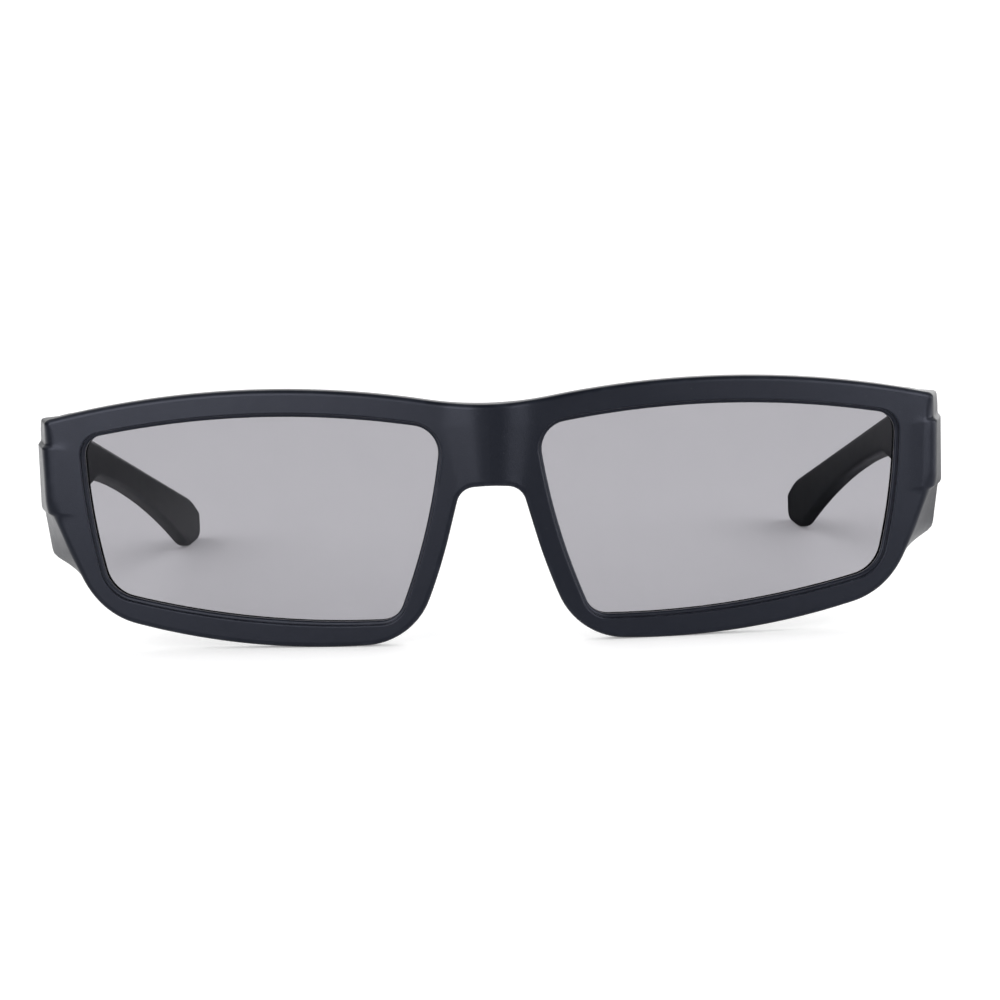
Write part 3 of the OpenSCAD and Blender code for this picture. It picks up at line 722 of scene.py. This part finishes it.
def object_place(tree):
    """Where a point lies on its object, in metres."""
    return add(tree, "ShaderNodeTexCoord").outputs["Object"]


def group(name, inputs, outputs):
    """An empty shader node group with named sockets, and its input and output nodes."""
    tree = bpy.data.node_groups.new(name, "ShaderNodeTree")
    for label, kind, value in inputs:
        tree.interface.new_socket(label, in_out="INPUT", socket_type=kind).default_value = value
    for label, kind in outputs:
        tree.interface.new_socket(label, in_out="OUTPUT", socket_type=kind)
    return tree, tree.nodes.new("NodeGroupInput").outputs, tree.nodes.new("NodeGroupOutput")


def moulded_skin_group():
    """Moulded plastic skin: a fine spark-eroded grain as height, slow shade and gloss changes as masks."""
    tree, given, result = group(
        "moulded skin", [("Grain Size", "NodeSocketFloat", 0.1), ("Seed", "NodeSocketFloat", 0.0)],
        [("Height", "NodeSocketFloat"), ("Shade", "NodeSocketFloat"), ("Gloss", "NodeSocketFloat")])
    moved = add(tree, "ShaderNodeVectorMath", {0: object_place(tree), 1: given["Seed"]}, operation="ADD")
    spot = moved.outputs[0]
    scale = maths(tree, "DIVIDE", 1 / MM, given["Grain Size"])
    fine = noise(tree, spot, scale, 3.0, Roughness=0.6)
    pits = add(tree, "ShaderNodeTexVoronoi", {"Vector": spot, "Scale": scale}, feature="SMOOTH_F1")
    feed(tree, result, {"Height": maths(tree, "ADD", fine, pits.outputs["Distance"]),
                        "Shade": noise(tree, spot, 70.0, 3.0),
                        "Gloss": noise(tree, spot, 420.0, 4.0, Roughness=0.65)})
    return tree


def handling_group():
    """Handling: edges rubbed pale in patches, and sparse specks of dust, laid over a colour."""
    black = (0, 0, 0, 1)
    tree, given, result = group(
        "handling", [("Color", "NodeSocketColor", black), ("Rubbed", "NodeSocketColor", black),
                     ("Dust", "NodeSocketColor", black), ("Edge", "NodeSocketFloat", 0.0)],
        [("Color", "NodeSocketColor")])
    place = object_place(tree)
    worn = ramp(tree, noise(tree, place, 260.0, 5.0, Roughness=0.7), 0.46, 0.72, 0.0, 1.0)
    wear = product(tree, worn, given["Edge"])
    specks = add(tree, "ShaderNodeTexVoronoi", {"Vector": place, "Scale": 520.0}, feature="F1")
    speck = ramp(tree, specks.outputs["Distance"], 0.03, 0.07, 0.05, 0.0)
    rubbed = mixed(tree, wear, given["Color"], given["Rubbed"])
    feed(tree, result, {"Color": mixed(tree, speck, rubbed, given["Dust"])})
    return tree


SKIN = moulded_skin_group()
HANDLING = handling_group()
SLATE_SHEEN = (0.79, 0.82, 1.0, 1)
DUST = (0.2, 0.2, 0.2, 1)
GRAIN_DEPTH, GLOSS_WANDER = 0.00004, 0.03


def blank_material(name):
    """A material with its node tree and its Principled shader."""
    material = bpy.data.materials.new(name)
    material.use_nodes = True
    return material, material.node_tree, material.node_tree.nodes["Principled BSDF"]


def moulded_plastic(name, dark, light, rubbed, rough, specular, grain, bump, seed):
    """Matt moulded plastic: two close shades, grain in the normal, wandering gloss, edges rubbed paler."""
    material, tree, shader = blank_material(name)
    skin = add(tree, "ShaderNodeGroup", node_tree=SKIN)
    feed(tree, skin, {"Grain Size": grain, "Seed": seed})
    edge = add(tree, "ShaderNodeAttribute", attribute_name="edge")
    handled = add(tree, "ShaderNodeGroup", node_tree=HANDLING)
    feed(tree, handled, {"Color": mixed(tree, skin.outputs["Shade"], (*dark, 1), (*light, 1)),
                         "Rubbed": (*rubbed, 1), "Dust": DUST, "Edge": edge.outputs["Fac"]})
    relief = add(tree, "ShaderNodeBump", {"Height": skin.outputs["Height"], "Strength": bump,
                                          "Distance": GRAIN_DEPTH})
    feed(tree, shader, {"Base Color": handled.outputs["Color"],
                        "Roughness": ramp(tree, skin.outputs["Gloss"], 0.3, 0.7,
                                          rough - GLOSS_WANDER, rough + GLOSS_WANDER),
                        "Normal": relief.outputs[0],
                        "Specular IOR Level": specular, "Specular Tint": SLATE_SHEEN})
    return material


def lens_laminate():
    """Grey polarising laminate: a clear tinted sheet with faint smears that change its tint and gloss."""
    material, tree, shader = blank_material("grey polarising laminate")
    smear = noise(tree, object_place(tree), 90.0, 4.0, Distortion=0.6)
    feed(tree, shader, {"Base Color": mixed(tree, smear, (0.37, 0.363, 0.389, 1), (0.385, 0.378, 0.404, 1)),
                        "Roughness": ramp(tree, smear, 0.0, 1.0, 0.01, 0.03),
                        "Transmission Weight": 1.0, "IOR": 1.14})
    return material


def pin_steel():
    """Drawn steel: fine lines round the pin in gloss and normal, and a patchy shade."""
    material, tree, shader = blank_material("drawn pin steel")
    place = object_place(tree)
    wave = {"Vector": place, "Scale": 2600.0, "Distortion": 3.0, "Detail": 2.0}
    lines = add(tree, "ShaderNodeTexWave", wave, bands_direction="Z").outputs["Fac"]
    patina = noise(tree, place, 900.0, 3.0)
    relief = add(tree, "ShaderNodeBump", {"Height": lines, "Strength": 0.2, "Distance": 0.00002})
    feed(tree, shader, {"Base Color": mixed(tree, patina, (0.5, 0.5, 0.52, 1), (0.66, 0.66, 0.67, 1)),
                        "Roughness": ramp(tree, lines, 0.0, 1.0, 0.24, 0.38),
                        "Normal": relief.outputs[0], "Metallic": 1.0})
    return material


frame_plastic = moulded_plastic(
    "slate frame plastic", dark=(0.002, 0.003, 0.006), light=(0.0036, 0.0048, 0.0085),
    rubbed=(0.011, 0.013, 0.019), rough=0.32, specular=0.42, grain=0.16, bump=0.2, seed=0.0)
temple_plastic = moulded_plastic(
    "slate temple plastic", dark=(0.0026, 0.004, 0.0075), light=(0.0044, 0.006, 0.0105),
    rubbed=(0.012, 0.015, 0.022), rough=0.38, specular=0.2, grain=0.16, bump=0.15, seed=3.7)
retainer_plastic = moulded_plastic(
    "black retainer plastic", dark=(0.003, 0.0034, 0.0045), light=(0.0055, 0.006, 0.0075),
    rubbed=(0.012, 0.012, 0.014), rough=0.8, specular=0.05, grain=0.2, bump=0.3, seed=8.1)
laminate = lens_laminate()
steel = pin_steel()

half_front = front_shell() + fixed_lugs()
mesh("front_shell", half_front + on_side(half_front, -1), frame_plastic, "front", ["front_frame"])

temple = [temple_body(), temple_knuckle()]
for hand, side in (("left", 1), ("right", -1)):
    mesh(hand + "_temple_arm", on_side(temple, side), temple_plastic, hand + "_side",
         [hand + "_temple"])
    mesh(hand + "_lens", on_side([lens_sheet()], side), laminate, "front",
         [hand + "_retarder_film", hand + "_polariser_film", hand + "_support_sheet"])
    mesh(hand + "_retainer", on_side([retainer_ring()], side), retainer_plastic, "front",
         [hand + "_lens_retainer"])
    mesh(hand + "_pin", on_side([pin()], side), steel, "front", [hand + "_hinge_pin"])

# The studio is in metres, and its left and right are the camera's.
# A soft box has its name, place, width, height and radiance.
FLOOR_HALF, FLOOR_GLOW = 3.0, 0.27
ROOM_BRIGHT, ROOM_DIM = 1.35, 0.1
BOX_AIM = (0, -0.075, 0.03)
BOXES = (("left box", (-0.19, -0.40, 0.11), 0.22, 0.22, 3.5),
         ("right box", (0.236, -0.394, 0.11), 0.13, 0.22, 4.6),
         ("side box", (0.42, -0.13, 0.07), 0.3, 0.12, 3.0))
CAMERA_PLACE, CAMERA_DOWN, CAMERA_ROLL = (0.00139, -0.581, 0.0843), 6.81, -1.79
CAMERA_LENS, CAMERA_SENSOR, CAMERA_CLIP = 113.2, 36.0, (0.01, 20.0)


def off_line(tree, value, line):
    """How far a value lies from a line, on either side."""
    return maths(tree, "ABSOLUTE", maths(tree, "SUBTRACT", value, line))


def card(tree, value, line, full, none, strength):
    """A strip along a line: its strength out to full from the line, from there evenly down to 0 at none."""
    return ramp(tree, off_line(tree, value, line), full, none, strength, 0.0)


def mirror_ray(tree):
    """1 for a ray that left a surface as a reflection, 0 for one from the camera or sent on by a lens."""
    ray = add(tree, "ShaderNodeLightPath").outputs
    not_through = maths(tree, "SUBTRACT", 1.0, ray["Is Transmission Ray"])
    return product(tree, ray["Is Glossy Ray"], not_through)


def pale_floor():
    """A plain pale floor. Reflections alone see dark patches painted into its colour and glow, painted shade
    in what the glasses reflect: one before the glasses, one under and behind the temple on the right, a
    weaker one under that on the left, and one beside the right flank."""
    material, tree, shader = blank_material("pale floor")
    place = object_place(tree)
    x, y, _ = add(tree, "ShaderNodeSeparateXYZ", {0: place}).outputs
    # Patches of painted shade on the floor, which reflections alone see
    front_painted_shade = ramp(tree, y, -0.12, 0.0, 0.7, 0.0)
    right_painted_shade = product(tree, card(tree, x, 0.045, 0.06, 0.12, 0.97), ramp(tree, y, 0.0, 0.04, 0.0, 1.0))
    left_painted_shade = product(tree, card(tree, x, -0.055, 0.025, 0.05, 0.5), card(tree, y, 0.04, 0.07, 0.13, 1.0))
    flank_painted_shade = product(tree, card(tree, x, 0.16, 0.05, 0.09, 0.5), ramp(tree, y, -0.04, 0.0, 0.0, 1.0))
    painted_shade_in_reflections = front_painted_shade
    for other in (right_painted_shade, flank_painted_shade, left_painted_shade):
        painted_shade_in_reflections = maths(tree, "MAXIMUM", painted_shade_in_reflections, other)
    shade = mixed(tree, noise(tree, place, 40.0, 2.0), (0.9, 0.9, 0.9, 1), (0.92, 0.92, 0.92, 1))
    # Painted shade: for reflections alone, the floor's colour and its glow turn dark where the patches lie
    seen = mixed(tree, product(tree, painted_shade_in_reflections, mirror_ray(tree)), shade, (0, 0, 0, 1))
    feed(tree, shader, {"Base Color": seen, "Roughness": 0.9, "Specular IOR Level": 0.1,
                        "Emission Color": seen, "Emission Strength": FLOOR_GLOW})

    data = bpy.data.meshes.new("floor")
    corners = [(x * FLOOR_HALF, y * FLOOR_HALF, 0) for x, y in ((-1, -1), (1, -1), (1, 1), (-1, 1))]
    data.from_pydata(corners, [], [(0, 1, 2, 3)])
    data.materials.append(material)
    floor = bpy.data.objects.new("floor", data)
    bpy.context.scene.collection.objects.link(floor)


def pale_room():
    """A room that the camera sees plain and pale. Its light dims behind the camera. Reflections alone see a
    far wall that is bright on the right and dark low on the left, a low strip behind the camera, brightest
    on the left, and a dome above."""
    world = bpy.data.worlds.new("studio")
    bpy.context.scene.world = world
    world.use_nodes = True
    tree = world.node_tree
    way = add(tree, "ShaderNodeTexCoord").outputs["Generated"]
    x, y, z = add(tree, "ShaderNodeSeparateXYZ", {0: way}).outputs
    away = maths(tree, "MAXIMUM", off_line(tree, x, 0.04), y)
    dimming = {"Value": away, "From Min": 0.15, "From Max": 0.5, "To Min": ROOM_DIM, "To Max": ROOM_BRIGHT}
    glow = add(tree, "ShaderNodeMapRange", dimming, interpolation_type="SMOOTHSTEP").outputs[0]
    camera_ray = add(tree, "ShaderNodeLightPath").outputs["Is Camera Ray"]
    lit = blend(tree, camera_ray, glow, ROOM_BRIGHT)

    above, to_right = ramp(tree, z, 0.02, 0.1, 0.0, 1.0), ramp(tree, x, -0.08, 0.08, 0.1, 1.6)
    far_wall = product(tree, ramp(tree, y, 0.7, 0.95, 0.06, 1.1), maths(tree, "MAXIMUM", above, to_right))
    strip = product(tree, card(tree, z, 0.14, 0.05, 0.1, 0.9), ramp(tree, x, -0.05, 0.2, 1.0, 0.1))
    strip = product(tree, strip, ramp(tree, y, -0.65, -0.55, 1.0, 0.0))
    dome = product(tree, ramp(tree, z, 0.3, 0.6, 0.0, 0.85), ramp(tree, away, 0.1, 0.5, 0.0, 1.0))
    mirrored = maths(tree, "MAXIMUM", maths(tree, "ADD", far_wall, strip), dome)
    feed(tree, tree.nodes["Background"], {"Color": (1, 1, 1, 1),
                                          "Strength": blend(tree, mirror_ray(tree), lit, mirrored)})


def soft_box(label, place, wide, high, radiance):
    """A rectangular area light that faces the front of the glasses and is hidden from the camera."""
    light = bpy.data.lights.new(label, "AREA")
    light.shape = "RECTANGLE"
    light.size, light.size_y = wide, high
    light.energy = radiance * math.pi * wide * high
    lamp = bpy.data.objects.new(label, light)
    lamp.location = place
    lamp.rotation_euler = (Vector(BOX_AIM) - Vector(place)).to_track_quat("-Z", "Y").to_euler()
    lamp.visible_camera = False
    bpy.context.scene.collection.objects.link(lamp)


def photo_camera():
    """The camera at the photograph's angle: before and a little above the glasses, slightly rolled."""
    scene = bpy.context.scene
    camera = bpy.data.objects.new("camera", bpy.data.cameras.new("camera"))
    camera.data.lens, camera.data.sensor_width = CAMERA_LENS, CAMERA_SENSOR
    camera.data.clip_start, camera.data.clip_end = CAMERA_CLIP
    camera.matrix_world = (Matrix.Translation(CAMERA_PLACE)
                           @ Matrix.Rotation(math.radians(90 - CAMERA_DOWN), 4, "X")
                           @ Matrix.Rotation(math.radians(CAMERA_ROLL), 4, "Z"))
    scene.collection.objects.link(camera)
    scene.camera = camera
    scene.view_settings.view_transform = "Standard"


pale_floor()
pale_room()
for box in BOXES:
    soft_box(*box)
photo_camera()
